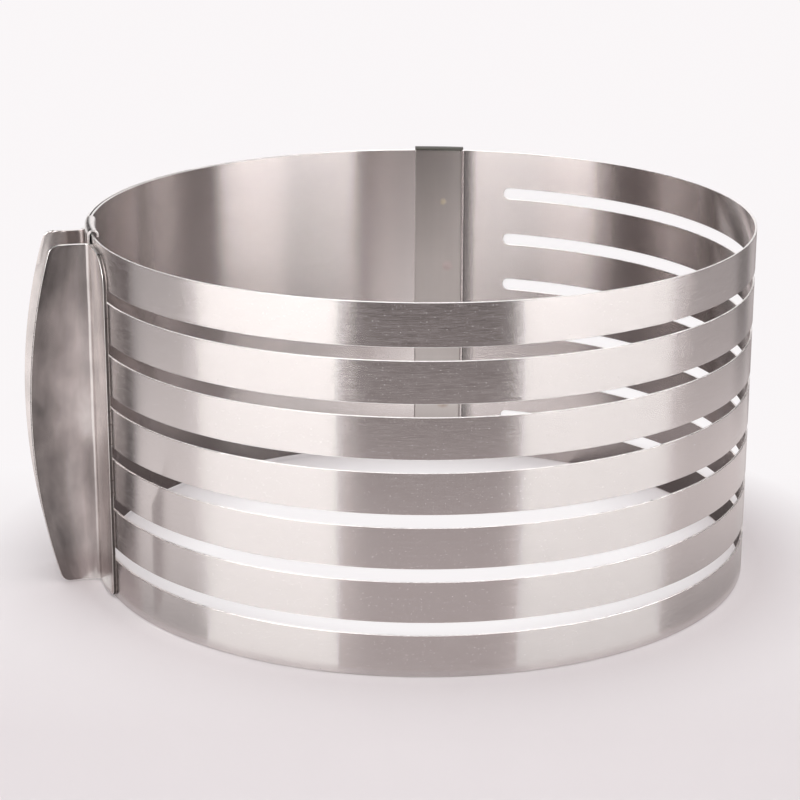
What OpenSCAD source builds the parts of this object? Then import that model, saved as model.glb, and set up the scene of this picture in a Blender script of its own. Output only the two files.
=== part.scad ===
// Adjustable slicing ring for layer cakes, drawn at its smallest setting.
// One thin steel strip is coiled into a ring. Its inner end, the tongue, runs on inside the
// outer layer, so the ring opens and closes as the tongue slides through the rolled guides.
// A place along the strip is its turn in degrees from the outer end, going clockwise from above.
// The strip bends everywhere, so it is drawn as short pieces that hinge on their outer faces.

/* [Ring] */
// Outside diameter at the smallest setting
ring_d = 160; // [140:1:200]
// Height of the band
band_h = 85; // [70:1:110]
// Thickness of the band's sheet
band_t = 0.5; // [0.3:0.05:0.6]
// Radial gap between the two layers of the band
lap_gap = 0.35; // [0.3:0.05:0.45]
// Turn of the tongue inside the outer layer, in degrees
lap_a = 113; // [100:1:120]
// Bearing of the strip's outer end seen from above, in degrees
end_bearing = 195.5; // [190:0.5:200]

/* [Slots] */
// Number of knife slots
slot_count = 6; // [2:1:6]
// Height of a slot
slot_h = 3; // [2:0.5:4]
// Distance from one slot to the next
slot_pitch = 12.5; // [10:0.5:13]
// Plain band between the tongue's end and the first ends of the slots, in degrees
slot_start_gap_a = 7.9; // [5:0.1:12]
// Place of the slots' last ends along the strip, in degrees
slot_end_a = 356; // [352:0.5:358]

/* [Guides] */
// Length of the rolled guides at the outer end, in degrees of turn
guide_a = 11; // [8:1:18]
// Outside radius of a rolled guide
guide_r = 1.35; // [1.3:0.05:1.6]
// How far the tongue's edge stands past the middle of the roll
guide_bite = 0.25; // [0.1:0.05:0.4]
// How far round the roll goes, in degrees
guide_wrap_a = 205; // [190:1:215]

/* [Keeper] */
// Width of the keeper, in degrees of turn
keeper_a = 9.2; // [6:0.1:12]
// Plain end of the tongue past the keeper, in degrees
keeper_end_gap_a = 0.4; // [0:0.1:2]
// Thickness of the keeper's sheet
keeper_t = 0.5; // [0.3:0.05:0.6]
// Gap between the band's edges and the keeper's folds
keeper_gap = 0.2; // [0.15:0.05:0.3]
// Radial room from the tongue's outer face to the keeper's hooks
hook_room = 1.55; // [1.5:0.05:2]
// How far the keeper's hooks reach over the outer face
hook_drop = 2.4; // [1:0.1:2.4]

/* [Handles] */
// Height of both handles
grip_h = 82.8; // [60:0.1:82.8]
// Gap between the handles' lower edge and the table
grip_foot = 0.4; // [0.3:0.1:2]
// Thickness of the handles' sheet
grip_t = 0.8; // [0.5:0.1:1.2]
// Reach of the grip plates from the band at mid height
grip_reach = 15.6; // [10:0.1:20]
// Reach of the grip plates at their top and bottom
grip_end_reach = 9.4; // [5:0.1:10]
// Inside radius of the bend between flange and grip plate
grip_bend_r = 1; // [0.5:0.1:2]
// Radius of the grip plates' outer corners
grip_corner_r = 2.5; // [1:0.5:4]
// Width of the near handle's welded flange
near_flange_w = 14; // [12:0.5:15]
// Place of the near flange's middle along the strip, in degrees
near_flange_at = 354.5; // [352:0.5:357.5]
// Width of the far handle's welded flange
far_flange_w = 9; // [8:0.5:10]
// Place of the far flange's middle along the strip, in degrees
far_flange_at = 12; // [10:0.5:14]
// Radius of the flanges' free upper corners
flange_top_r = 7; // [2:0.5:7.5]
// Radius of the flanges' free lower corners
flange_foot_r = 2; // [1:0.5:4]

/* [Hidden] */
$fn = 180;
// Facets of the whole circle that a long shallow arc is cut from
long_arc_facet_count = 720;
turn_a = 360;
half_turn_a = 180;
// Number of plain pieces of the outer layer behind the keeper's path, past the outer end
lap_count = 5;
// Number of pieces that the slots cross from side to side
slotted_count = 11;
// Number of plain pieces of the tongue before its tip
tongue_count = 5;
// The near handle's piece ends here, in degrees along the strip
seat_end_a = 363.5;
// Plain margins of the lowered lower edge past the keeper and before the guides, in degrees
trim_margin_a = 3;
// Cutters run past what they cut by this much
overrun = 1;

// The outer end, the plain lap, the slots' start, the slotted pieces and the handle's piece
outer_count = 1 + lap_count + 1 + slotted_count + 1;
outer_step_a = seat_end_a / outer_count;
strip_a = turn_a + lap_a;
tongue_step_a = (strip_a - seat_end_a) / (tongue_count + 1);
// The strip winds inwards by one layer a turn
wind_per_a = (band_t + lap_gap) / turn_a;

ring_r = ring_d / 2;
// The lands between the slots run between the middles of the slots' round ends
slot_end_turn_a = slot_h / 2 / ring_r * half_turn_a / PI;
lands_start_a = lap_a + slot_start_gap_a + slot_end_turn_a;
lands_end_a = slot_end_a - slot_end_turn_a;
slot_first_z = (band_h - (slot_count - 1) * slot_pitch) / 2;
// The rolls' middles, and the lower edge that is raised to clear the lower folds
guide_low_z = guide_r;
guide_top_z = band_h - guide_bite;
trim_z = guide_low_z - guide_bite;
trim_end_a = lap_a + trim_margin_a;
trim_again_a = turn_a - trim_margin_a;

// The origin lies under the middle of the whole object, handles included
far_bearing = end_bearing - far_flange_at;
far_reach = (ring_r + grip_reach) * cos(far_bearing - half_turn_a)
    + (far_flange_w / 2 - grip_t) * sin(half_turn_a - far_bearing);
ring_x = (far_reach - strip_r(piece_at(end_bearing))) / 2;

// Where piece i of the strip starts, in degrees
function piece_start(i) = i <= outer_count
    ? i * outer_step_a
    : seat_end_a + (i - outer_count) * tongue_step_a;

// Which piece of the outer turn holds a place along the strip
function piece_at(a) = floor(a / outer_step_a);

// Radius of the outer face of piece i
function strip_r(i) = ring_r - wind_per_a * piece_start(i);

function slot_z(k) = slot_first_z + k * slot_pitch;

// Indices of the pieces that have names of their own
slot_start_i = lap_count + 1;
seat_i = outer_count - 1;
tip_i = outer_count + tongue_count;

module in_ring() {
    translate([ring_x, 0, 0]) children();
}

// Turns a radial section into a stretch of ring between two places along the strip
module along_strip(a0, a1) {
    rotate([0, 0, end_bearing - a1]) rotate_extrude(angle = a1 - a0) children();
}

module wall_section(r, t, z0, z1) {
    translate([r - t, z0]) square([t, z1 - z0]);
}

// Section that cuts right through the band's wall
module cut_section(r, z0, z1) {
    translate([r - band_t - overrun, z0]) square([band_t + 2 * overrun, z1 - z0]);
}

// Stretch of the strip between two places, of the radius of piece i
module plain_band(i, a0, a1, low_z) {
    in_ring() along_strip(a0, a1) wall_section(strip_r(i), band_t, low_z, band_h);
}

// The lands that the slots leave between two places
module lands(i, a0, a1) {
    for (k = [0:slot_count]) {
        low_z = k == 0 ? 0 : slot_z(k - 1) + slot_h / 2;
        high_z = k == slot_count ? band_h : slot_z(k) - slot_h / 2;
        in_ring() along_strip(a0, a1) wall_section(strip_r(i), band_t, low_z, high_z);
    }
}

// Round ends of all slots at one place
module slot_ends_cut(i, a) {
    for (k = [0:slot_count - 1]) {
        in_ring() rotate([0, 0, end_bearing - a])
            translate([strip_r(i) - band_t - overrun, 0, slot_z(k)])
            rotate([0, 90, 0]) cylinder(h = band_t + 2 * overrun, d = slot_h);
    }
}

// Raises the lower edge between two places to clear the folds that pass under it
module lower_edge_cut(i, a0, a1) {
    in_ring() along_strip(a0, a1) cut_section(strip_r(i), -overrun, trim_z);
}

// Section of a roll: it leaves the band's outer face and curls over the edge to the inside
module roll_section() {
    far = guide_r + overrun;
    difference() {
        circle(r = guide_r);
        circle(r = guide_r - band_t);
        polygon([
            [0, 0], [far, 0], [far, -far], [-far, -far],
            [far * cos(guide_wrap_a), far * sin(guide_wrap_a)]
        ]);
    }
}

// The strip's outer end, whose upper and lower edges are rolled inwards over the tongue
module band_outer_end() {
    color("silver") {
        in_ring() difference() {
            along_strip(0, piece_start(1)) wall_section(ring_r, band_t, trim_z, band_h);
            along_strip(-guide_a, guide_a) cut_section(ring_r, guide_top_z, band_h + overrun);
            along_strip(-guide_a, guide_a) cut_section(ring_r, -overrun, guide_low_z);
        }
        in_ring() along_strip(0, guide_a) {
            translate([ring_r - guide_r, guide_top_z]) roll_section();
            translate([ring_r - guide_r, guide_low_z]) mirror([0, 1]) roll_section();
        }
    }
}

module band_lap(k) {
    color("silver") plain_band(k, piece_start(k), piece_start(k + 1), trim_z);
}

// Plain start of the slotted part, with the slots' first round ends
module band_slot_start() {
    a0 = piece_start(slot_start_i);
    color("silver") difference() {
        plain_band(slot_start_i, a0, lands_start_a, 0);
        lower_edge_cut(slot_start_i, a0 - guide_a, trim_end_a);
        slot_ends_cut(slot_start_i, lands_start_a);
    }
}

module band_first_lands() {
    color("gainsboro") lands(slot_start_i, lands_start_a, piece_start(slot_start_i + 1));
}

module band_slotted(k) {
    i = slot_start_i + k;
    color("gainsboro") lands(i, piece_start(i), piece_start(i + 1));
}

module band_last_lands() {
    color("gainsboro") lands(seat_i, piece_start(seat_i), lands_end_a);
}

// Plain end of the slotted part under the near handle, with the slots' last round ends
module band_handle_seat() {
    color("silver") difference() {
        plain_band(seat_i, lands_end_a, seat_end_a, 0);
        lower_edge_cut(seat_i, trim_again_a, seat_end_a + guide_a);
        slot_ends_cut(seat_i, lands_end_a);
    }
}

module band_tongue(k) {
    i = seat_i + k;
    color("darkgray") plain_band(i, piece_start(i), piece_start(i + 1), trim_z);
}

module band_tongue_tip() {
    color("darkgray") plain_band(tip_i, piece_start(tip_i), strip_a, trim_z);
}

// Plan of a handle: a flat flange from the bend to its free end at +Y, and the grip plate
// that leaves it outwards along +X. The flange's inner face lies at x = 0.
module handle_plan(flange_w) {
    bend_outer_r = grip_bend_r + grip_t;
    bend_y = bend_outer_r - flange_w / 2;
    translate([0, bend_y]) square([grip_t, flange_w / 2 - bend_y]);
    translate([bend_outer_r, -flange_w / 2]) square([grip_reach - bend_outer_r, grip_t]);
    intersection() {
        translate([bend_outer_r, bend_y]) difference() {
            circle(r = bend_outer_r);
            circle(r = grip_bend_r);
        }
        translate([0, -flange_w / 2]) square([bend_outer_r, bend_outer_r]);
    }
}

// Side view of the grip plate's outer edge: one long arc with round corners,
// x outwards from the band and y up from the handle's lower edge
module grip_side() {
    rise = grip_reach - grip_end_reach;
    arc_r = (grip_h * grip_h / 4 + rise * rise) / (2 * rise);
    arc_x = grip_reach - arc_r;
    corner_y = grip_h / 2 - grip_corner_r;
    corner_x = arc_x + sqrt(pow(arc_r - grip_corner_r, 2) - corner_y * corner_y);
    stretch = arc_r / (corner_x - arc_x);
    translate([0, grip_h / 2]) {
        translate([-overrun, -grip_h / 2]) square([corner_x + overrun, grip_h]);
        for (side = [-1, 1]) {
            translate([corner_x, side * corner_y]) circle(r = grip_corner_r);
        }
        intersection() {
            translate([arc_x, 0]) circle(r = arc_r, $fn = long_arc_facet_count);
            polygon([
                [arc_x, 0],
                [arc_x + (corner_x - arc_x) * stretch, -corner_y * stretch],
                [arc_x + 2 * arc_r, 0],
                [arc_x + (corner_x - arc_x) * stretch, corner_y * stretch]
            ]);
        }
    }
}

// Front view of the flange, x along it from its middle, with two round corners at its free edge
module flange_front(flange_w) {
    foot_x = flange_w / 2 - flange_foot_r;
    top_x = flange_w / 2 - flange_top_r;
    top_y = grip_h - flange_top_r;
    translate([-flange_w, 0]) square([flange_w + foot_x, top_y]);
    translate([-flange_w, flange_foot_r]) square([flange_w * 3 / 2, top_y - flange_foot_r]);
    translate([-flange_w, flange_foot_r]) square([flange_w + top_x, grip_h - flange_foot_r]);
    translate([foot_x, flange_foot_r]) circle(r = flange_foot_r);
    translate([top_x, top_y]) circle(r = flange_top_r);
}

// A handle, from its lower edge up, whose flange stands on the plane x = 0
module handle(flange_w) {
    intersection() {
        linear_extrude(height = grip_h) handle_plan(flange_w);
        translate([0, flange_w, 0]) rotate([90, 0, 0])
            linear_extrude(height = 2 * flange_w) grip_side();
        translate([-overrun, 0, 0]) rotate([90, 0, 90])
            linear_extrude(height = grip_reach + 2 * overrun) flange_front(flange_w);
    }
}

// Stands a handle on the outer face of radius r at a bearing
module on_band(r, bearing) {
    in_ring() rotate([0, 0, bearing]) translate([r, 0, grip_foot]) children();
}

module near_handle() {
    color("rosybrown") on_band(strip_r(seat_i), end_bearing - near_flange_at)
        handle(near_flange_w);
}

// The far handle is a mirror image of the near one, so the two grip plates face each other
module far_handle() {
    color("tan") on_band(ring_r, far_bearing) mirror([0, 1, 0]) handle(far_flange_w);
}

// A strip across the tongue near its end, folded over both layers at the top and the bottom
module keeper() {
    r = strip_r(tip_i);
    in_r = r - band_t;
    hook_r = r + hook_room;
    fold_low_z = trim_z - keeper_gap - keeper_t;
    fold_top_z = band_h + keeper_gap;
    end_a = strip_a - keeper_end_gap_a;
    color("gray") in_ring() along_strip(end_a - keeper_a, end_a) {
        wall_section(in_r, keeper_t, fold_low_z, fold_top_z + keeper_t);
        for (z = [fold_low_z, fold_top_z]) {
            translate([in_r - keeper_t, z]) square([hook_r - in_r + 2 * keeper_t, keeper_t]);
        }
        wall_section(hook_r + keeper_t, keeper_t, fold_low_z, trim_z + hook_drop);
        wall_section(hook_r + keeper_t, keeper_t, band_h - hook_drop, fold_top_z + keeper_t);
    }
}

band_outer_end();
for (k = [1:lap_count]) {
    band_lap(k);
}
band_slot_start();
band_first_lands();
for (k = [1:slotted_count]) {
    band_slotted(k);
}
band_last_lands();
band_handle_seat();
for (k = [1:tongue_count]) {
    band_tongue(k);
}
band_tongue_tip();
near_handle();
far_handle();
keeper();
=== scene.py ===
"""Looks, light and camera for a slotted steel slicing ring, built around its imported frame.

Sizes are in millimetres and angles in degrees, and at() turns them into metres in the frame.
A place along the strip is its turn from the strip's outer end, clockwise from above."""
import math
from collections import namedtuple

import bmesh
import bpy
from mathutils import Matrix, Vector


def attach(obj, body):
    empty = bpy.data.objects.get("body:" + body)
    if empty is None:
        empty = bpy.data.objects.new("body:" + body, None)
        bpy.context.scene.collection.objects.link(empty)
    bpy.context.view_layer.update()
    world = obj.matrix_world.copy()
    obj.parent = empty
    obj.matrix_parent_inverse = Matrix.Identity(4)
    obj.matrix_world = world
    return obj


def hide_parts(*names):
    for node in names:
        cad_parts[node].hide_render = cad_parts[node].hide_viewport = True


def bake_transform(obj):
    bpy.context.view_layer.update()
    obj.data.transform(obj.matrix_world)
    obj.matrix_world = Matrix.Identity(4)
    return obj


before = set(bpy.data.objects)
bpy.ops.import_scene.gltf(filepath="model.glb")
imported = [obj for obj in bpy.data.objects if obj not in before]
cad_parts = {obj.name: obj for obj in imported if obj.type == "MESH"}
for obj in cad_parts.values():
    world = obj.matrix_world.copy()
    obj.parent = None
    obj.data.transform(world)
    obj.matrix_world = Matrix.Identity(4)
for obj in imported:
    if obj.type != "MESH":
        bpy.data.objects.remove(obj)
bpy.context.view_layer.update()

MM = 0.001

# The UV layer that holds each point's place on the flat sheet
SHEET = "sheet"

# Driving sizes of the ring, as the frame has them
RING_D = 160.0
BAND_H = 85.0
BAND_T = 0.5
LAP_GAP = 0.35
LAP_A = 113.0
END_BEARING = 195.5
SLOT_COUNT = 6
SLOT_H = 3.0
SLOT_PITCH = 12.5
SLOT_START_GAP_A = 7.9
SLOT_END_A = 356.0
GUIDE_A = 11.0
GUIDE_R = 1.35
GUIDE_BITE = 0.25
GUIDE_WRAP_A = 205.0
KEEPER_A = 9.2
KEEPER_T = 0.5
KEEPER_GAP = 0.2
KEEPER_END_GAP_A = 0.4
HOOK_ROOM = 1.55
HOOK_DROP = 2.4
GRIP_H = 82.8
GRIP_FOOT = 0.4
GRIP_T = 0.8
GRIP_REACH = 15.6
GRIP_END_REACH = 9.4
GRIP_BEND_R = 1.0
GRIP_CORNER_R = 2.5
NEAR_FLANGE_W = 14.0
NEAR_FLANGE_AT = 354.5
FAR_FLANGE_W = 9.0
FAR_FLANGE_AT = 12.0
FLANGE_TOP_R = 7.0
FLANGE_FOOT_R = 2.0
LAP_COUNT = 5
SLOTTED_COUNT = 11
TONGUE_COUNT = 5
SEAT_END_A = 363.5
TRIM_MARGIN_A = 3.0

# Sizes that follow from them
RING_R = RING_D / 2
OUTER_COUNT = 1 + LAP_COUNT + 1 + SLOTTED_COUNT + 1
OUTER_STEP_A = SEAT_END_A / OUTER_COUNT
STRIP_A = 360 + LAP_A
TONGUE_STEP_A = (STRIP_A - SEAT_END_A) / (TONGUE_COUNT + 1)
WIND_PER_A = (BAND_T + LAP_GAP) / 360
SEAT_I = OUTER_COUNT - 1
TIP_I = OUTER_COUNT + TONGUE_COUNT
SLOT_R = SLOT_H / 2
SLOT_FIRST_Z = (BAND_H - (SLOT_COUNT - 1) * SLOT_PITCH) / 2
SLOT_TIP_A = LAP_A + SLOT_START_GAP_A
TRIM_Z = GUIDE_R - GUIDE_BITE
TRIM_END_A = LAP_A + TRIM_MARGIN_A
TRIM_AGAIN_A = 360 - TRIM_MARGIN_A
FAR_BEARING = END_BEARING - FAR_FLANGE_AT
KEEPER_END_A = STRIP_A - KEEPER_END_GAP_A
KEEPER_START_A = KEEPER_END_A - KEEPER_A

# How the grip plates leave their bend: the angles of their bow and flare, and how soon the
# flare ends
GRIP_BOW_A = 6.0
GRIP_FLARE_A = 10.0
GRIP_FLARE_POWER = 7

# How far the edges are eased, and the angles from which an edge is eased or shaded sharp
EDGE_EASE = 0.07
GRIP_EASE = 0.16
EASE_STEPS = 2
EASE_FROM_A = 50.0
SHARP_FROM_A = 30.0
SLOT_FACE_R = SLOT_R + EDGE_EASE

# How far the rolls stay inside the frame's rolls and the handles stay off the band, and the turn
# in which the band's lower edge rises to its trimmed height
ROLL_FIT = 0.01
HANDLE_FIT = 0.02
RAMP_A = 1.2

# How finely the pieces are meshed, in degrees, in steps and in millimetres
STEP_A = 0.5
KEEPER_STEP_A = 0.36
ARC_STEP_A = 12
ROLL_STEP_A = 9
BEND_STEP_A = 10
END_STEPS = 9
FLANGE_STEPS = 10
PLATE_STEPS = 12
GUIDE_STEP = 2.0
KEEPER_STEP = 0.5
# A handle's rows of points: how far up its foot and down its top they are close, and each stretch
# with its step
GRIP_FINE_FOOT = 3.0
GRIP_FINE_TOP = 8.0
GRIP_ROWS = ((0, GRIP_FINE_FOOT, 0.25), (GRIP_FINE_FOOT, GRIP_H - GRIP_FINE_TOP, 2.0),
             (GRIP_H - GRIP_FINE_TOP, GRIP_H, 0.4))
# What rounding may add to a count of steps
ROUND_OFF = 1e-6

# Sides of the band's section, each from a point of it to the next: the outer face, the upper
# edge, the inner face and the lower edge
OUTER_SIDE = 0
UPPER_SIDES = {1, 2, 3}
INNER_SIDE = 4
LOWER_SIDES = {5, 6, 7}
SIDE_COUNT = 8

# Material slots: the band's faces, and the edges and the rim of every sheet
SIDE_SLOTS = {OUTER_SIDE: 0, INNER_SIDE: 2}
EDGE_SLOT = 1
RIM_SLOT = 2


def piece_start(i):
    if i <= OUTER_COUNT:
        return i * OUTER_STEP_A
    return SEAT_END_A + (i - OUTER_COUNT) * TONGUE_STEP_A


def piece_middle(i):
    return (piece_start(i) + piece_start(i + 1)) / 2


def spiral_r(a):
    """Radius of the strip's outer face at a place along it."""
    return RING_R - WIND_PER_A * a


def slot_z(k):
    return SLOT_FIRST_Z + k * SLOT_PITCH


# How far the far handle reaches out from the ring's middle, and how far that middle is from the
# frame's origin, which lies under the middle of the whole box
FAR_REACH = ((RING_R + GRIP_REACH) * math.cos(math.radians(FAR_BEARING - 180))
             + (FAR_FLANGE_W / 2 - GRIP_T) * math.sin(math.radians(180 - FAR_BEARING)))
RING_X = (FAR_REACH - spiral_r(piece_start(int(END_BEARING // OUTER_STEP_A)))) / 2


def at(bearing, r, z):
    """A point of the frame, in metres, from its bearing, radius and height in the ring."""
    b = math.radians(bearing)
    return Vector((RING_X + r * math.cos(b), r * math.sin(b), z)) * MM


def on_strip(a, depth, z):
    """A point of the frame at a place along the strip, inwards from its outer face."""
    return at(END_BEARING - a, spiral_r(a) - depth, z)


# The body that carries each stretch of the strip, and the CAD nodes that it has
BODIES = (["outer_end"] + [f"lap_{k + 1}" for k in range(LAP_COUNT)] + ["slot_start"]
          + [f"slotted_{k + 1}" for k in range(SLOTTED_COUNT)] + ["handle_seat"]
          + [f"tongue_{k + 1}" for k in range(TONGUE_COUNT)] + ["tongue_tip"])
BAND_NODES = {body: ["band_" + body] for body in BODIES}
BAND_NODES["slot_start"].append("band_first_lands")
BAND_NODES["handle_seat"].append("band_last_lands")


# Points that agree to so many digits of a millimetre are one point
SAME_DIGITS = 4


class Builder:
    """Gathers the points and faces of one piece."""

    def __init__(self, name):
        self.name = name
        self.index = {}
        self.points = []
        self.uvs = []
        self.faces = []
        self.slots = []

    def point(self, position, uv):
        key = tuple(round(c / MM, SAME_DIGITS) for c in position)
        if key not in self.index:
            self.index[key] = len(self.points)
            self.points.append(position)
            self.uvs.append(uv)
        return self.index[key]

    def face(self, corners, slot=0):
        ring = [c for i, c in enumerate(corners) if c != corners[i - 1]]
        if len(set(ring)) > 2:
            self.faces.append(ring)
            self.slots.append(slot)

    def finish(self, materials):
        mesh = bpy.data.meshes.new(self.name)
        mesh.from_pydata(self.points, [], self.faces)
        layer = mesh.uv_layers.new(name=SHEET)
        for loop in mesh.loops:
            layer.data[loop.index].uv = self.uvs[loop.vertex_index]
        for material in materials:
            mesh.materials.append(material)
        for polygon, slot in zip(mesh.polygons, self.slots):
            polygon.material_index = slot
        mesh.validate()
        piece = bpy.data.objects.new(self.name, mesh)
        bpy.context.scene.collection.objects.link(piece)
        return piece


def smooth_with_sharp_edges(piece):
    bm = bmesh.new()
    bm.from_mesh(piece.data)
    bmesh.ops.recalc_face_normals(bm, faces=bm.faces)
    for face in bm.faces:
        face.smooth = True
    for edge in bm.edges:
        edge.smooth = edge.is_manifold and edge.calc_face_angle(0) < math.radians(SHARP_FROM_A)
    bm.to_mesh(piece.data)
    bm.free()


def apply_modifiers(piece):
    """Puts what the modifiers make into the piece's own mesh."""
    graph = bpy.context.evaluated_depsgraph_get()
    mesh = bpy.data.meshes.new_from_object(
        piece.evaluated_get(graph), preserve_all_data_layers=True, depsgraph=graph)
    piece.modifiers.clear()
    piece.data = mesh


def smooth_step(share):
    share = min(max(share, 0), 1)
    return share * share * (3 - 2 * share)


def low_edge(a):
    """Height of the band's lower edge, raised where the layers lap so the folds pass under."""
    full_share = smooth_step(min(a - TRIM_END_A, TRIM_AGAIN_A - a) / RAMP_A)
    return TRIM_Z * (1 - full_share)


def spread(a0, a1, step):
    count = max(1, math.ceil((a1 - a0) / step - ROUND_OFF))
    return [a0 + (a1 - a0) * i / count for i in range(count + 1)]


def per_degree(a):
    """Length of the strip in one degree at a place along it."""
    return spiral_r(a) * math.pi / 180


# A column of points up the band: its place on the faces and on the slots' walls, half the slots'
# height on the faces and on the walls, and whether the slots are open there
Column = namedtuple("Column", "a wall_a face_half wall_half is_open")


def slot_columns(a0, a1):
    """Columns of the slotted band from a0 to a1, close together round the slots' ends."""
    columns = []
    marks = [a0, a1]
    ends = []
    for tip_a, way in ((SLOT_TIP_A, 1), (SLOT_END_A, -1)):
        middle = tip_a + way * SLOT_R / per_degree(tip_a)
        outer = middle - way * SLOT_FACE_R / per_degree(tip_a)
        if a0 < middle < a1:
            ends.append((middle, outer, way))
            marks += [middle, outer]
    marks.sort()
    for left, right in zip(marks, marks[1:]):
        end = next((e for e in ends if {left, right} == {e[0], e[1]}), None)
        if end:
            middle, _, way = end
            turns = [90 * i / END_STEPS for i in range(END_STEPS + 1)]
            for turn in turns if way > 0 else reversed(turns):
                c, s = math.cos(math.radians(turn)), math.sin(math.radians(turn))
                columns.append(Column(
                    middle - way * SLOT_FACE_R * c / per_degree(middle),
                    middle - way * SLOT_R * c / per_degree(middle),
                    SLOT_FACE_R * s, SLOT_R * s, True))
        else:
            inside = SLOT_TIP_A < (left + right) / 2 < SLOT_END_A
            half = (SLOT_FACE_R, SLOT_R) if inside else (0, 0)
            columns += [Column(a, a, *half, inside) for a in spread(left, right, STEP_A)]
    return columns


def plain_columns(a0, a1):
    return [Column(a, a, 0, 0, False) for a in spread(a0, a1, STEP_A)]


def band_piece(name, a0, a1, slotted):
    """A stretch of the strip from a0 to a1, closed at both ends."""
    made = Builder(name)
    slots = [slot_z(k) for k in range(SLOT_COUNT)] if slotted else []
    columns = slot_columns(a0, a1) if slotted else plain_columns(a0, a1)

    def point(a, depth, z, wall=False):
        uv = (a * per_degree(a) * MM, (z + depth * wall) * MM)
        return made.point(on_strip(a, depth, z), uv)

    def column_points(column):
        """The section's points of each land, from the lowest land to the highest."""
        a, wall_a, face_half, wall_half, _ = column
        inner = BAND_T - EDGE_EASE
        lows = [(low_edge(a) + EDGE_EASE, low_edge(a), a)]
        lows += [(z + face_half, z + wall_half, wall_a) for z in slots]
        highs = [(z - face_half, z - wall_half, wall_a) for z in slots]
        highs += [(BAND_H - EDGE_EASE, BAND_H, a)]
        return [[
            point(a, 0, low_face), point(a, 0, high_face),
            point(high_a, EDGE_EASE, high_wall, True), point(high_a, inner, high_wall, True),
            point(a, BAND_T, high_face), point(a, BAND_T, low_face),
            point(low_a, inner, low_wall, True), point(low_a, EDGE_EASE, low_wall, True),
        ] for (low_face, low_wall, low_a), (high_face, high_wall, high_a) in zip(lows, highs)]

    def sides_shown(k, is_open):
        shown = {OUTER_SIDE, INNER_SIDE}
        if is_open or k == len(slots):
            shown |= UPPER_SIDES
        if is_open or k == 0:
            shown |= LOWER_SIDES
        return shown

    for here, there in zip(columns, columns[1:]):
        if (here.a, here.wall_a) == (there.a, there.wall_a):
            continue
        is_open = here.is_open and there.is_open
        for k, (p, q) in enumerate(zip(column_points(here), column_points(there))):
            for side in sides_shown(k, is_open):
                after = (side + 1) % SIDE_COUNT
                corners = [p[side], p[after], q[after], q[side]]
                made.face(corners, SIDE_SLOTS.get(side, EDGE_SLOT))
    for column in (columns[0], columns[-1]):
        for k, p in enumerate(column_points(column)):
            shown = sides_shown(k, column.is_open)
            corners = p[:2] + (p[2:4] if shown & UPPER_SIDES else [])
            corners += p[4:6] + (p[6:] if shown & LOWER_SIDES else [])
            made.face(corners, EDGE_SLOT)
    piece = made.finish([band_steel, cut_edge, inner_steel])
    smooth_with_sharp_edges(piece)
    return piece


def run_lengths(path):
    """How far each point of a path lies along it."""
    lengths = [0.0]
    for before, after in zip(path, path[1:]):
        lengths.append(lengths[-1] + math.dist(before, after))
    return lengths


def strip_rows(path, places):
    """Rows of points of a sheet along the strip, whose path is made of depths and heights."""
    lengths = run_lengths(path)
    return [[(on_strip(a, depth, z), (a * per_degree(a) * MM, length * MM))
             for (depth, z), length in zip(path, lengths)] for a in places]


def sheet_piece(name, rows, thickness, ease, materials):
    """A bent sheet whose middle surface has rows of points, each with its place when flat. The
    materials are those of its faces, of its eased edges and, where there is a third, of its rim."""
    made = Builder(name)
    grid = [[made.point(*point) for point in row] for row in rows]
    for row, following in zip(grid, grid[1:]):
        for i in range(len(row) - 1):
            made.face([row[i], row[i + 1], following[i + 1], following[i]])
    piece = made.finish(materials)
    for polygon in piece.data.polygons:
        polygon.use_smooth = True
    thicken = piece.modifiers.new("thickness", "SOLIDIFY")
    thicken.thickness = thickness * MM
    thicken.offset = 0
    thicken.use_even_offset = True
    thicken.material_offset_rim = len(materials) - 1
    easing = piece.modifiers.new("eased edges", "BEVEL")
    easing.width = ease * MM
    easing.segments = EASE_STEPS
    easing.limit_method = "ANGLE"
    easing.angle_limit = math.radians(EASE_FROM_A)
    easing.material = EDGE_SLOT
    weighted = piece.modifiers.new("normals", "WEIGHTED_NORMAL")
    weighted.keep_sharp = True
    apply_modifiers(piece)
    return piece


def arc_points(centre, r, from_a, to_a, step=ARC_STEP_A):
    """Points of an arc, with both its ends."""
    count = max(2, math.ceil(abs(to_a - from_a) / step))
    turns = [math.radians(from_a + (to_a - from_a) * i / count) for i in range(count + 1)]
    return [(centre[0] + r * math.cos(t), centre[1] + r * math.sin(t)) for t in turns]


def straight(start, end, step):
    """Points between two others, without them."""
    count = max(1, math.ceil(math.dist(start, end) / step))
    return [(start[0] + (end[0] - start[0]) * i / count, start[1] + (end[1] - start[1]) * i / count)
            for i in range(1, count)]


# Materials


class Nodes:
    """A short way to add nodes to a material and join them."""

    def __init__(self, tree):
        self.tree = tree

    def add(self, kind, settings=None, **inputs):
        node = self.tree.nodes.new(kind)
        for key, value in (settings or {}).items():
            setattr(node, key, value)
        for key, value in inputs.items():
            self.put(node, key.replace("_", " "), value)
        return node

    def put(self, node, key, value):
        socket = node.inputs[int(key)] if key.isdigit() else node.inputs[key]
        if isinstance(value, bpy.types.NodeSocket):
            self.tree.links.new(value, socket)
        else:
            socket.default_value = value

    def math(self, operation, a, b=0.0, c=0.0):
        node = self.tree.nodes.new("ShaderNodeMath")
        node.operation = operation
        for key, value in zip("012", (a, b, c)):
            self.put(node, key, value)
        return node.outputs[0]

    def ramp(self, value, low, high, to_low=0.0, to_high=1.0):
        node = self.tree.nodes.new("ShaderNodeMapRange")
        for key, v in zip("01234", (value, low, high, to_low, to_high)):
            self.put(node, key, v)
        return node.outputs[0]


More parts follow.
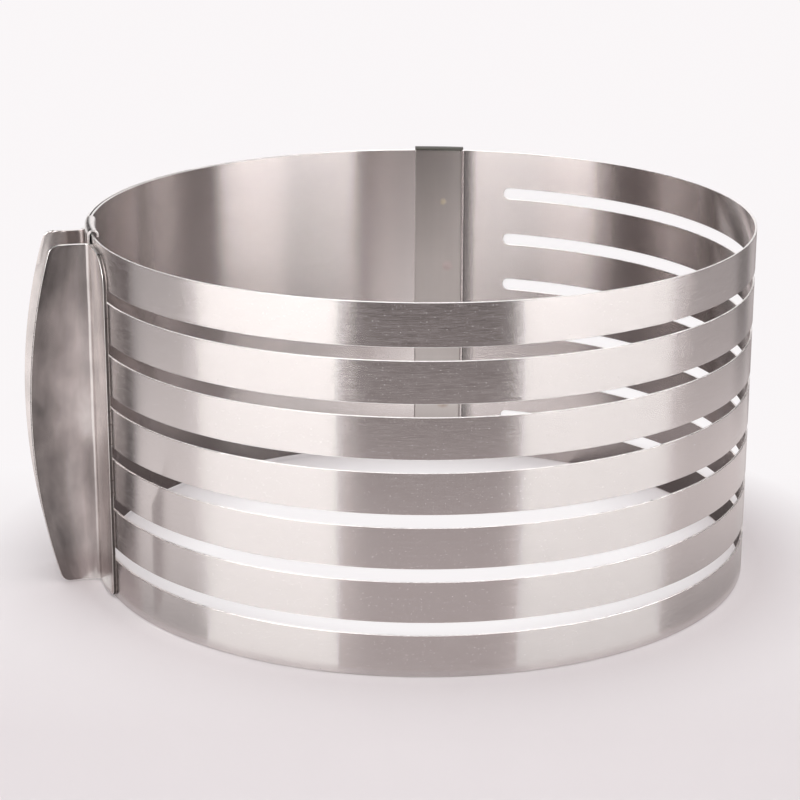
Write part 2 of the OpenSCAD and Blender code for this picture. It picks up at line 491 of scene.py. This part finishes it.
def fresh_material(name):
    material = bpy.data.materials.new(name)
    material.use_nodes = True
    material.node_tree.nodes.clear()
    nodes = Nodes(material.node_tree)
    output = nodes.add("ShaderNodeOutputMaterial")
    return material, nodes, output


# Noise on the steels: the size of its marks along and across in millimetres, detail and seed
CLOUDS = (9.0, 16.0, 3.0, 7.7)
WAVES = (7.0, 18.0, 1.0, 3.3)
SPECKS = (0.42, 0.34, 0.0, 11.0)
WELD_RAGS = (0.8, 0.8, 2.0, 5.0)
# The hairlines' detail, and the step from the seed of one of their noises to the next
HAIRLINE_DETAIL = 2.0
HAIRLINE_SEED_STEP = 3.1
# What every noise has: how many times the seed it is shifted across, its roughness and middle
SEED_SLANT = 1.7
NOISE_ROUGHNESS = 0.6
NOISE_MIDDLE = 0.5
# Between which values of their noise the specks come up
SPECK_FROM = 0.80
SPECK_TO = 0.86
# The turn that stretches a reflection across the hairlines, and the least dull scatter of a
# steel that has any
ACROSS_TURN = 0.25
LEAST_DULL = 0.03


def sheet_uv(nodes):
    return nodes.add("ShaderNodeUVMap", {"uv_map": SHEET}).outputs[0]


def axis_of(nodes, vector, axis):
    return nodes.add("ShaderNodeSeparateXYZ", Vector=vector).outputs[axis]


def stretched_noise(nodes, along, across, detail, seed):
    """Noise on the sheet whose marks are along and across so many millimetres."""
    scaled = nodes.add("ShaderNodeMapping", Vector=sheet_uv(nodes),
                       Scale=(1 / (along * MM), 1 / (across * MM), 1.0),
                       Location=(seed, seed * SEED_SLANT, 0.0)).outputs[0]
    noise = nodes.add("ShaderNodeTexNoise", {"noise_dimensions": "2D"}, Vector=scaled,
                      Scale=1.0, Detail=detail, Roughness=NOISE_ROUGHNESS)
    return noise.outputs[0]


def steel(name, tone, rough, stretch, marks, mark_share, rough_share, bump_mm, cloud_share=0.0,
          dull_share=0.0, speck_share=0.0, wave_mm=0.0, painted_light=()):
    """Steel whose hairlines are stretched noise: marks lists their sizes along and across in
    millimetres and their weights. The reflection is stretched across them, and they change the
    tone, the roughness, the height and the dull scatter by the shares and sizes given. Clouds,
    specks and waves come on top, and the last argument's steps change the tone along the sheet as
    painted highlight and painted shade."""
    material, nodes, output = fresh_material(name)
    tangent = nodes.add("ShaderNodeTangent", {"direction_type": "UV_MAP", "uv_map": SHEET})
    shader = nodes.add("ShaderNodeBsdfPrincipled", Anisotropic=stretch, Tangent=tangent.outputs[0],
                       Anisotropic_Rotation=ACROSS_TURN if stretch else 0.0)
    lines = None
    for i, (along, across, weight) in enumerate(marks):
        noise = stretched_noise(nodes, along, across, HAIRLINE_DETAIL, HAIRLINE_SEED_STEP * i)
        part = nodes.math("MULTIPLY", nodes.math("SUBTRACT", noise, NOISE_MIDDLE), weight)
        lines = part if lines is None else nodes.math("ADD", lines, part)
    shade = nodes.math("MULTIPLY_ADD", lines, mark_share, 1.0)
    if cloud_share:
        cloud = nodes.math("SUBTRACT", stretched_noise(nodes, *CLOUDS), NOISE_MIDDLE)
        shade = nodes.math("MULTIPLY_ADD", cloud, cloud_share, shade)
    # Painted highlight and painted shade, added to the tone along the sheet
    for start, end, change in painted_light:
        sheet_x = axis_of(nodes, sheet_uv(nodes), 0)
        shade = nodes.math("ADD", shade, nodes.ramp(sheet_x, start * MM, end * MM, 0.0, change))
    dull = nodes.math("MULTIPLY_ADD", lines, dull_share, LEAST_DULL if dull_share else 0.0)
    if speck_share:
        spots = nodes.ramp(stretched_noise(nodes, *SPECKS), SPECK_FROM, SPECK_TO)
        shade = nodes.math("MULTIPLY_ADD", spots, speck_share, shade)
        dull = nodes.math("MULTIPLY_ADD", spots, speck_share, dull)
    height = nodes.math("MULTIPLY", lines, bump_mm)
    if wave_mm:
        height = nodes.math("MULTIPLY_ADD", stretched_noise(nodes, *WAVES), wave_mm, height)
    color = nodes.add("ShaderNodeVectorMath", {"operation": "SCALE"}, Scale=shade)
    color.inputs[0].default_value = tone
    bump = nodes.add("ShaderNodeBump", Strength=1.0, Distance=MM, Height=height)
    nodes.put(shader, "Base Color", color.outputs[0])
    nodes.put(shader, "Metallic", nodes.math("SUBTRACT", 1.0, dull))
    nodes.put(shader, "Roughness", nodes.math("MULTIPLY_ADD", lines, rough_share, rough))
    nodes.put(shader, "Normal", bump.outputs[0])
    nodes.put(output, "Surface", shader.outputs[0])
    return material, nodes, shader, color


# Painted light in the tone along a sheet, from and to how many millimetres, and by how much: the
# near handle gets a painted highlight at its bend and painted shade towards its outer edge
GRIP_PAINTED_LIGHT = [(15.0, 17.0, 0.2), (17.0, 25.0, -0.75)]
# Painted shadow on the band's inner face beside the keeper, where the tongue in front of it ends
SHADOW_LINE_MM = math.radians(LAP_A) * spiral_r(LAP_A)
WALL_PAINTED_SHADOW = [(SHADOW_LINE_MM - 0.4, SHADOW_LINE_MM, -0.6), (SHADOW_LINE_MM + 0.8, SHADOW_LINE_MM + 3.4, 0.6)]

band_steel, *_ = steel(
    "brushed_band_steel", (0.63, 0.59, 0.58), rough=0.23, stretch=1.0,
    marks=[(2.6, 0.15, 1.2), (7.0, 0.2, 1.0), (26.0, 0.5, 0.5)],
    mark_share=0.16, rough_share=0.08, bump_mm=0.0015, dull_share=0.42, speck_share=0.3)
# The inner steel carries the painted shadow line beside the keeper
inner_steel, *_ = steel(
    "smooth_inner_steel", (0.66, 0.615, 0.605), rough=0.21, stretch=1.0,
    marks=[(20.0, 0.5, 1.0), (6.0, 0.25, 0.5)],
    mark_share=0.04, rough_share=0.04, bump_mm=0.0004, painted_light=WALL_PAINTED_SHADOW)
cut_edge, *_ = steel(
    "bright_cut_edge", (0.82, 0.79, 0.78), rough=0.36, stretch=0.2,
    marks=[(0.7, 0.5, 1.2), (3.4, 0.8, 0.8)],
    mark_share=0.7, rough_share=0.3, bump_mm=0.012, speck_share=0.4)
HANDLE_LOOK = {
    "tone": (0.60, 0.553, 0.54), "rough": 0.25, "stretch": 0.0,
    "marks": [(1.6, 40.0, 0.6), (6.0, 60.0, 1.0)],
    "mark_share": 0.06, "rough_share": 0.04, "bump_mm": 0.0008, "wave_mm": 0.25}
# The near handle's steel: painted highlight at its bend, painted shade towards its outer edge
near_handle_steel, *_ = steel(
    "satin_near_handle_steel", **HANDLE_LOOK, cloud_share=0.8, painted_light=GRIP_PAINTED_LIGHT)
far_handle_steel, *_ = steel("satin_far_handle_steel", **HANDLE_LOOK, cloud_share=0.7)
handle_edge, *_ = steel(
    "bright_handle_edge", (0.84, 0.80, 0.78), rough=0.3, stretch=0.2,
    marks=[(0.8, 0.8, 1.0)], mark_share=0.25, rough_share=0.2, bump_mm=0.005)
# Painted shade: a dark rim at the flange's free end, for the shadow in the gap to the band
sheared_rim_painted_shade, *_ = steel(
    "sheared_rim_painted_shade", (0.13, 0.115, 0.11), rough=0.45, stretch=0.2,
    marks=[(0.8, 0.8, 1.0)], mark_share=0.6, rough_share=0.2, bump_mm=0.01)
# Painted dark reflection for the keeper's upper fold and its rim
fold_painted_reflection, *_ = steel(
    "painted_dark_fold_reflection", (0.075, 0.072, 0.064), rough=0.42, stretch=0.2,
    marks=[(1.6, 0.4, 1.0)], mark_share=0.3, rough_share=0.2, bump_mm=0.004)

# Spot welds on the keeper: bearing, height, radius and tint
WELDS = [(86.5, 71.0, 0.8, (0.68, 0.61, 0.46)), (85.6, 53.3, 1.2, (0.58, 0.485, 0.48)),
         (86.3, 14.5, 1.4, (0.45, 0.36, 0.30))]
# How ragged a weld's tint is in millimetres, at how many radii it ends, and its share inside
WELD_RAG = 0.8
WELD_FADE = 1.8
WELD_TINT_SHARE = 0.75
# Painted shade darkens the keeper's steel towards its upper fold, from this height on, to this
# share
KEEPER_TOP_SHADE_FROM = 55.0
KEEPER_TOP_SHADE = 0.68


def weld_place(bearing):
    """A place along the strip's tongue from its bearing in the ring."""
    return END_BEARING + 360 - bearing


def keeper_material():
    material, nodes, shader, color = steel(
        "dull_keeper_steel", (0.53, 0.495, 0.48), rough=0.30, stretch=0.7,
        marks=[(10.0, 0.4, 0.3), (1.6, 30.0, 0.6)],
        mark_share=0.08, rough_share=0.04, bump_mm=0.0006, cloud_share=0.08)
    place = nodes.add("ShaderNodeTexCoord").outputs["Object"]
    # Painted shade, darker towards the upper fold
    dim = nodes.ramp(axis_of(nodes, place, 2), KEEPER_TOP_SHADE_FROM * MM, BAND_H * MM, 1.0, KEEPER_TOP_SHADE)
    upper = nodes.add("ShaderNodeVectorMath", {"operation": "SCALE"}, Vector=color.outputs[0],
                      Scale=dim)
    result = upper.outputs[0]
    for bearing, z, r, tint in WELDS:
        away = nodes.add("ShaderNodeVectorMath", {"operation": "DISTANCE"})
        nodes.put(away, "0", place)
        nodes.put(away, "1", on_strip(weld_place(bearing), BAND_T + KEEPER_T, z))
        ragged = nodes.math("MULTIPLY_ADD", stretched_noise(nodes, *WELD_RAGS), WELD_RAG * MM,
                            away.outputs["Value"])
        inside = nodes.ramp(ragged, r * MM, WELD_FADE * r * MM, WELD_TINT_SHARE, 0.0)
        mixed = nodes.add("ShaderNodeMix", {"data_type": "RGBA"}, Factor=inside)
        colors = [socket for socket in mixed.inputs if socket.type == "RGBA"]
        nodes.tree.links.new(result, colors[0])
        colors[1].default_value = (*tint, 1.0)
        result = next(socket for socket in mixed.outputs if socket.type == "RGBA")
    nodes.put(shader, "Base Color", result)
    return material


keeper_steel = keeper_material()

# The strip

# How far the strip is held on either side of the handles' middles and before the keeper, and how
# far past the slots' ends a stretch is still made as a slotted one
FAR_HOLD_A = 3.5
NEAR_HOLD_A = 5.9
KEEPER_HOLD_A = 0.4
SLOT_MARGIN_A = 1


def crosses_slots(a0, a1):
    return a1 > SLOT_TIP_A - SLOT_MARGIN_A and a0 < SLOT_END_A + SLOT_MARGIN_A


def band():
    """The whole strip as stretches held by its bodies and stretches that join one body to the next.
    """
    held = {i: (piece_middle(i), piece_middle(i)) for i in range(len(BODIES))}
    held[0] = (GUIDE_A, FAR_FLANGE_AT + FAR_HOLD_A)
    held[SEAT_I] = (NEAR_FLANGE_AT - NEAR_HOLD_A, NEAR_FLANGE_AT + NEAR_HOLD_A)
    held[TIP_I] = (KEEPER_START_A - KEEPER_HOLD_A, STRIP_A)

    for i, body in enumerate(BODIES):
        rigid = held[i]
        if rigid[1] > rigid[0]:
            piece = band_piece(f"band_{body}_held", *rigid, crosses_slots(*rigid))
            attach(piece, body)
            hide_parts(*BAND_NODES[body])
        if i < len(BODIES) - 1:
            a0, a1 = rigid[1], held[i + 1][0]
            piece = band_piece(f"band_{body}_to_{BODIES[i + 1]}", a0, a1, crosses_slots(a0, a1))
            on_strip(a0, 0, 0)
            on_strip(a1, 0, 0)
            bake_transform(piece)
            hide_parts(*BAND_NODES[body], *BAND_NODES[BODIES[i + 1]])


def rolled_guides():
    """The strip's outer end: the wall and the two edges rolled inwards over the tongue."""
    mid = BAND_T / 2
    roll_r = GUIDE_R - mid - ROLL_FIT
    low_z, top_z = GUIDE_R, BAND_H - GUIDE_BITE
    lower_roll = arc_points((0, low_z), roll_r, -GUIDE_WRAP_A, 0, ROLL_STEP_A)
    upper_roll = arc_points((0, top_z), roll_r, 0, GUIDE_WRAP_A, ROLL_STEP_A)
    path = [(GUIDE_R - x, z) for x, z in lower_roll]
    path += straight((mid, low_z), (mid, top_z), GUIDE_STEP)
    path += [(GUIDE_R - x, z) for x, z in upper_roll]
    rows = strip_rows(path, spread(0, GUIDE_A, STEP_A))
    piece = sheet_piece("rolled_guide_end", rows, BAND_T, EDGE_EASE, [band_steel, cut_edge])
    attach(piece, "outer_end")
    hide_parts("band_outer_end")


# The keeper

KEEPER_BEND_R = 0.55
# From this far above the band's upper edge, its upper fold gets its rim's painted dark reflection
FOLD_ABOVE = 0.12
# The electrode's mark at a spot weld: its depth, how many radii it takes up, how its pit falls
# off, and the ridge round the pit, whose place and width are in radii too
WELD_DEPTH = 0.09
WELD_REACH = 1.6
PIT_SLOPE = 2
PIT_POWER = 4
RIDGE_AT = 1.15
RIDGE_WIDTH = 0.25
RIDGE_SHARE = 0.35


def keeper():
    """The strip across the tongue's end, folded outwards over both its edges."""
    bend_r, mid = KEEPER_BEND_R, KEEPER_T / 2
    inner, outer = BAND_T + mid, -HOOK_ROOM - mid
    top, low = BAND_H + KEEPER_GAP + mid, TRIM_Z - KEEPER_GAP - mid
    path = [(outer, BAND_H - HOOK_DROP)]
    path += arc_points((outer + bend_r, top - bend_r), bend_r, 180, 90)
    path += arc_points((inner - bend_r, top - bend_r), bend_r, 90, 0)
    path += straight((inner, top - bend_r), (inner, low + bend_r), KEEPER_STEP)
    path += arc_points((inner - bend_r, low + bend_r), bend_r, 0, -90)
    path += arc_points((outer + bend_r, low + bend_r), bend_r, -90, -180)
    path += [(outer, TRIM_Z + HOOK_DROP)]
    rows = strip_rows(path, spread(KEEPER_START_A, KEEPER_END_A, KEEPER_STEP_A))
    piece = sheet_piece("folded_keeper", rows, KEEPER_T, EDGE_EASE,
                        [keeper_steel, keeper_steel, fold_painted_reflection])
    for polygon in piece.data.polygons:
        if polygon.center.z > (BAND_H + FOLD_ABOVE) * MM:
            polygon.material_index = RIM_SLOT
    dent_welds(piece)
    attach(piece, "tongue_tip")
    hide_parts("keeper")


def dent_welds(piece):
    """Presses the electrode's mark into the keeper's inner face at each spot weld."""
    for bearing, z, r, _ in WELDS:
        a = weld_place(bearing)
        centre = on_strip(a, BAND_T + KEEPER_T, z)
        outwards = on_strip(a, 0, z) - on_strip(a, 1, z)
        for vertex in piece.data.vertices:
            reach = (vertex.co - centre).length / MM / r
            depth = (centre - vertex.co).dot(outwards) / MM / MM
            if reach < WELD_REACH and depth > -KEEPER_T / 2:
                pit = math.exp(-PIT_SLOPE * reach ** PIT_POWER)
                ridge = RIDGE_SHARE * math.exp(-((reach - RIDGE_AT) / RIDGE_WIDTH) ** 2)
                vertex.co += outwards * WELD_DEPTH * (pit - ridge)


# The handles


def grip_outline():
    """The grip plate's reach at a height from its middle: an arc with round corners."""
    rise = GRIP_REACH - GRIP_END_REACH
    arc_r = (GRIP_H ** 2 / 4 + rise ** 2) / (2 * rise)
    arc_x = GRIP_REACH - arc_r
    corner_y = GRIP_H / 2 - GRIP_CORNER_R
    corner_x = arc_x + math.sqrt((arc_r - GRIP_CORNER_R) ** 2 - corner_y ** 2)
    touch_y = corner_y * arc_r / (arc_r - GRIP_CORNER_R)

    def reach(y):
        if abs(y) < touch_y:
            return arc_x + math.sqrt(arc_r ** 2 - y ** 2)
        return corner_x + math.sqrt(max(0, GRIP_CORNER_R ** 2 - (abs(y) - corner_y) ** 2))

    return reach


def corner_inset(distance, r):
    return 0 if distance >= r else r - math.sqrt(max(0, r * r - (r - distance) ** 2))


# The rim is painted dark, as shade, only at the flange's free end: how far such a face turns to
# that end at least
RIM_TURN = 0.3


def handle(name, body, node, at_a, flange_w, mirrored, face):
    """A handle whose flange follows the band and whose grip plate leaves it outwards."""
    side = -1 if mirrored else 1
    bearing = END_BEARING - at_a
    r = spiral_r(at_a) + HANDLE_FIT
    mid = GRIP_T / 2
    bend_r = GRIP_BEND_R + mid
    big_r = r + mid
    plate_y = -flange_w / 2 + mid
    centre_y = plate_y + bend_r
    centre_x = -r + math.sqrt((big_r + bend_r) ** 2 - centre_y ** 2)
    tangent_a = math.degrees(math.atan2(-centre_y, -(centre_x + r))) % 360
    flange_end = math.degrees(math.asin(centre_y / (big_r + bend_r)))
    flange_start = math.degrees(flange_w / 2 / big_r)
    plate_reach = GRIP_REACH - centre_x
    reach = grip_outline()

    def row(z):
        """Points at a height, from the flange's free end over the bend to the plate's edge."""
        inset = max(corner_inset(GRIP_H - z, FLANGE_TOP_R), corner_inset(z, FLANGE_FOOT_R))
        free = flange_start - math.degrees(inset / big_r)
        points = []
        for i in range(FLANGE_STEPS + 1):
            t = math.radians(free + (flange_end - free) * i / FLANGE_STEPS)
            points.append((big_r * math.cos(t) - r, big_r * math.sin(t)))
        points += arc_points((centre_x, centre_y), bend_r, tangent_a, 270, BEND_STEP_A)[1:]
        end_x = reach(z - GRIP_H / 2)
        for i in range(1, PLATE_STEPS + 1):
            run = (end_x - centre_x) * i / PLATE_STEPS
            share = run / plate_reach
            bow = (GRIP_BOW_A * share * (1 - share)
                   + GRIP_FLARE_A * (1 - (1 - share) ** GRIP_FLARE_POWER) / GRIP_FLARE_POWER)
            points.append((centre_x + run, plate_y - plate_reach * math.radians(bow)))
        return points

    def placed(x, y, z):
        """A point of a row in the frame, on the side where the handle stands."""
        b = math.radians(bearing)
        rx, ry = r + x, side * y
        return Vector((RING_X + rx * math.cos(b) - ry * math.sin(b),
                       rx * math.sin(b) + ry * math.cos(b), GRIP_FOOT + z)) * MM

    heights = [0.0]
    for low, high, step in GRIP_ROWS:
        heights += spread(low, high, step)[1:]
    lengths = run_lengths(row(GRIP_H / 2))
    rows = [[(placed(x, y, z), (length * MM, z * MM)) for (x, y), length in zip(row(z), lengths)]
            for z in heights]
    piece = sheet_piece(name, rows, GRIP_T, GRIP_EASE, [face, handle_edge, sheared_rim_painted_shade])
    to_free_end = (at(bearing + side, r, 0) - at(bearing, r, 0)).normalized()
    for polygon in piece.data.polygons:
        if polygon.material_index == RIM_SLOT and polygon.normal.dot(to_free_end) < RIM_TURN:
            polygon.material_index = EDGE_SLOT
    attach(piece, body)
    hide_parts(node)


band()
rolled_guides()
keeper()
handle("near_grip_handle", "handle_seat", "near_handle", NEAR_FLANGE_AT, NEAR_FLANGE_W,
       mirrored=False, face=near_handle_steel)
handle("far_grip_handle", "outer_end", "far_handle", FAR_FLANGE_AT, FAR_FLANGE_W,
       mirrored=True, face=far_handle_steel)

# The stage

FLOOR_R = 3000.0
FLOOR_SIDES = 128
FLOOR_Z = -0.1
FLOOR_TONE = (0.75, 0.715, 0.725)
BACKGROUND = (0.955, 0.925, 0.935)
# The floor turns to plain background behind the ring and far away, keeps the ring's shadow near
# it and is almost plain inside the ring: distances from the ring's middle
FLOOR_BACK = (-110.0, 60.0)
FLOOR_NEAR = (84.0, 110.0)
FLOOR_FAR = (160.0, 420.0)
FLOOR_INSIDE = (52.0, 84.0)
FLOOR_INSIDE_SHARE = 0.95


def from_middle(x, y, z):
    """A point of the frame, in metres, from its place beside the ring's middle."""
    return Vector((RING_X + x, y, z)) * MM


def floor():
    material, nodes, output = fresh_material("pale_floor")
    shaded = nodes.add("ShaderNodeBsdfDiffuse", Color=(*FLOOR_TONE, 1.0))
    plain = nodes.add("ShaderNodeEmission", Color=(*BACKGROUND, 1.0), Strength=1.0)
    place = nodes.add("ShaderNodeTexCoord").outputs["Object"]
    behind = axis_of(nodes, place, 1)
    distance = nodes.add("ShaderNodeVectorMath", {"operation": "LENGTH"})
    nodes.put(distance, "0", place)
    away = distance.outputs["Value"]

    def fade(value, span, from_share=0.0, to_share=1.0):
        return nodes.ramp(value, span[0] * MM, span[1] * MM, from_share, to_share)

    plain_share = nodes.math("MULTIPLY", fade(behind, FLOOR_BACK), fade(away, FLOOR_NEAR))
    plain_share = nodes.math("MAXIMUM", plain_share, fade(away, FLOOR_FAR))
    inside = fade(away, FLOOR_INSIDE, FLOOR_INSIDE_SHARE, 0.0)
    plain_share = nodes.math("MAXIMUM", plain_share, inside)
    mixed = nodes.add("ShaderNodeMixShader")
    nodes.put(mixed, "0", plain_share)
    nodes.put(mixed, "1", shaded.outputs[0])
    nodes.put(mixed, "2", plain.outputs[0])
    nodes.put(output, "Surface", mixed.outputs[0])
    bpy.ops.mesh.primitive_circle_add(vertices=FLOOR_SIDES, radius=FLOOR_R * MM, fill_type="NGON",
                                      location=(RING_X * MM, 0, FLOOR_Z * MM))
    disc = bpy.context.object
    disc.name = "floor"
    disc.data.materials.append(material)


# The camera, from the ring's middle in millimetres, with the photograph's frame 800 wide
CAMERA_FROM = (8.4, -589.3, 222.3)
CAMERA_DOWN_A = 18.18
CAMERA_YAW_A = 1.30
CAMERA_ROLL_A = 0.18
FOCAL_PX = 2521.9
CENTRE_DOWN_PX = 40.0
FRAME_PX = 800.0
SENSOR = 36.0
# The nearest and the furthest that it sees, in metres
CAMERA_CLIP = (0.01, 20)

# The light: how bright the background shines, and the lamp's width in metres, its power in watts,
# its place from the ring's middle and its turns
WORLD_STRENGTH = 0.8
LAMP_SIZE = 0.7
LAMP_POWER = 3.0
LAMP_FROM = (-120, -60, 900)
LAMP_TURNS_A = (-4, -7, 0)

# Cards of the studio round the object, seen only in reflections. A wall card lies on the floor
# from the ring out to CARD_R and stands up there. It covers just what the camera sees mirrored
# in the outer wall between two bearings, and has a tone near the wall, one further out and one
# far from it
CARD_R = 300.0
CARD_FOOT_H = 95.0
CARD_STEP_A = 2.0
CARD_Z = 0.2
CARD_FADES = ((10.0, 100.0), (115.0, 235.0))
CARD_REACH_SHARES = (0.01, 0.05, 0.1, 0.2, 0.35, 0.55, 0.8, 1.0)
# Their green as a share of their red: its least, its rise with the sum of their tones and its
# most. Their blue is a little less
CARD_GREEN = (0.83, 0.05, 0.985)
CARD_BLUE_LESS = 0.005
WALL_CARDS = [
    ((185, 205), (0.9, 0.95, 1.0)), ((205, 216), (0.5, 0.02, 0.2)),
    ((216, 233.5), (0.55, 1.2, 0.62)), ((233.5, 257.8), (1.12, 1.32, 1.2)),
    ((257.8, 286.6), (0.64, 0.82, 0.0)), ((286.6, 314.5), (0.92, 1.18, 0.98)),
    ((314.5, 335), (0.48, 1.0, 0.5)), ((335, 342), (0.48, 0.98, 0.25)),
    ((342, 348), (0.5, 0.95, 0.6)), ((348, 360), (0.5, 0.6, 0.4)),
]
# Cards that stand above those for the inner wall: their bearings, heights and tone. The bright
# ones end low, so that the wall mirrors them once but not again from its other side
TALL = (CARD_FOOT_H, 460)
LOW = (130, 215)
ROUND_CARDS = [
    ((62, 118), TALL, 1.2), ((118, 196), TALL, 0.03), ((196, 251), LOW, 10.8),
    ((251, 298), TALL, 0.06), ((298, 360.5), LOW, 10.8), ((360.5, 422), TALL, 0.05),
]
# Shades on the floor inside the ring: their bearings, radii and tone
MIDDLE = (0, 48)
BORDER = (48, 79)
INNER_SHADES = [
    ((80, 100), MIDDLE, 1.9), ((100, 240), MIDDLE, 0.45), ((240, 300), MIDDLE, 0.9),
    ((300, 440), MIDDLE, 0.45), ((100, 240), BORDER, 0.1), ((240, 300), BORDER, 1.5),
    ((300, 420), BORDER, 0.1), ((60, 100), BORDER, 0.5),
]
# A dim card behind the back slots, on the floor and up from CARD_R: its bearings, inner radius
# and tones, and the step of its rows on the floor
BACK_CARD = ((45, 115), 84.0, (0.12, 0.3, 0.7))
BACK_STEP = 40
# A low shade before the near grip plate: its ends, height and tone
GRIP_SHADE = ((-89.0, -50.0), (-66.0, -50.0), 28.0, 0.5)


def card_tone(name, near_tone, mid_tone, far_tone):
    """A glow that changes with the reach from the wall."""
    material, nodes, output = fresh_material(name)
    least, rise, most = CARD_GREEN
    green = min(most, least + rise * (near_tone + mid_tone + far_tone))
    reach = axis_of(nodes, sheet_uv(nodes), 1)
    (near, mid), (mid_end, far) = CARD_FADES
    tone = nodes.ramp(reach, near * MM, mid * MM, near_tone, mid_tone)
    further = nodes.ramp(reach, mid_end * MM, far * MM)
    tone = nodes.math("MULTIPLY_ADD", further, far_tone - mid_tone, tone)
    glow = nodes.add("ShaderNodeEmission", Color=(1.0, green, green - CARD_BLUE_LESS, 1.0),
                     Strength=tone)
    nodes.put(output, "Surface", glow.outputs[0])
    return material


def hide_but_in_reflections(piece):
    piece.visible_camera = False
    piece.visible_diffuse = False
    piece.visible_transmission = False
    piece.visible_shadow = False


def card(name, columns, rows, spot, tones):
    """A card whose spot(column, row) gives a place from the ring's middle and its reach."""
    made = Builder(name)

    def point(column, row):
        x, y, z, reach = spot(column, row)
        return made.point(from_middle(x, y, z), (0.0, reach * MM))

    for left, right in zip(columns, columns[1:]):
        for low, high in zip(rows, rows[1:]):
            made.face([point(left, low), point(right, low), point(right, high), point(left, high)])
    hide_but_in_reflections(made.finish([card_tone(name + "_tone", *tones)]))


def mirrored_spot(bearing, share):
    """Where the camera's ray goes that the outer wall mirrors at a bearing, at a share of its
    way to CARD_R, and how far that is."""
    out = Vector((math.cos(math.radians(bearing)), math.sin(math.radians(bearing))))
    spot = out * RING_R
    way = (spot - Vector(CAMERA_FROM[:2])).normalized()
    way -= 2 * way.dot(out) * out
    along = spot.dot(way)
    reach = share * (math.sqrt(along ** 2 + CARD_R ** 2 - RING_R ** 2) - along)
    return spot + way * reach, reach


def polar(bearing, r):
    return r * math.cos(math.radians(bearing)), r * math.sin(math.radians(bearing))


def cards():
    def wall_spot(bearing, row):
        share, z = row
        spot, reach = mirrored_spot(bearing, share)
        return spot.x, spot.y, z, reach

    def back_spot(bearing, row):
        r, z = row
        return *polar(bearing, r), z, r - RING_R

    rows = [(share, CARD_Z) for share in CARD_REACH_SHARES] + [(1.0, CARD_FOOT_H)]
    for i, (bearings, tones) in enumerate(WALL_CARDS):
        card(f"wall_card_{i}", spread(*bearings, CARD_STEP_A), rows, wall_spot, tones)
    for i, (bearings, heights, tone) in enumerate(ROUND_CARDS):
        card(f"round_card_{i}", spread(*bearings, CARD_STEP_A), heights,
             lambda bearing, z: (*polar(bearing, CARD_R), z, 0), (tone, tone, tone))
    for i, (bearings, radii, tone) in enumerate(INNER_SHADES):
        card(f"inner_shade_{i}", spread(*bearings, CARD_STEP_A), radii,
             lambda bearing, r: (*polar(bearing, r), CARD_Z, 0), (tone, tone, tone))
    bearings, inner_r, tones = BACK_CARD
    back_rows = [(r, CARD_Z) for r in spread(inner_r, CARD_R, BACK_STEP)] + [(CARD_R, CARD_FOOT_H)]
    card("back_card", spread(*bearings, CARD_STEP_A), back_rows, back_spot, tones)
    first, last, height, tone = GRIP_SHADE
    card("grip_shade", (first, last), (CARD_Z, height),
         lambda end, z: (*end, z, 0), (tone, tone, tone))


def light():
    world = bpy.data.worlds.new("studio")
    bpy.context.scene.world = world
    world.use_nodes = True
    glow = world.node_tree.nodes["Background"]
    glow.inputs["Color"].default_value = (*BACKGROUND, 1.0)
    glow.inputs["Strength"].default_value = WORLD_STRENGTH
    lamp = bpy.data.lights.new("top_softbox", "AREA")
    lamp.shape = "SQUARE"
    lamp.size = LAMP_SIZE
    lamp.energy = LAMP_POWER
    box = bpy.data.objects.new("top_softbox", lamp)
    box.location = from_middle(*LAMP_FROM)
    box.rotation_euler = [math.radians(a) for a in LAMP_TURNS_A]
    bpy.context.scene.collection.objects.link(box)


def camera():
    data = bpy.data.cameras.new("camera")
    data.sensor_width = SENSOR
    data.lens = FOCAL_PX * SENSOR / FRAME_PX
    data.shift_y = CENTRE_DOWN_PX / FRAME_PX
    data.clip_start, data.clip_end = CAMERA_CLIP
    eye = bpy.data.objects.new("camera", data)
    eye.location = (Vector(CAMERA_FROM) + Vector((RING_X, 0, 0))) * MM
    eye.rotation_euler = (Matrix.Rotation(math.radians(CAMERA_YAW_A), 3, "Z")
                          @ Matrix.Rotation(math.radians(90 - CAMERA_DOWN_A), 3, "X")
                          @ Matrix.Rotation(math.radians(CAMERA_ROLL_A), 3, "Z")).to_euler()
    bpy.context.scene.collection.objects.link(eye)
    bpy.context.scene.camera = eye


floor()
cards()
light()
camera()
bpy.context.scene.view_settings.view_transform = "Standard"

bpy.context.view_layer.update()
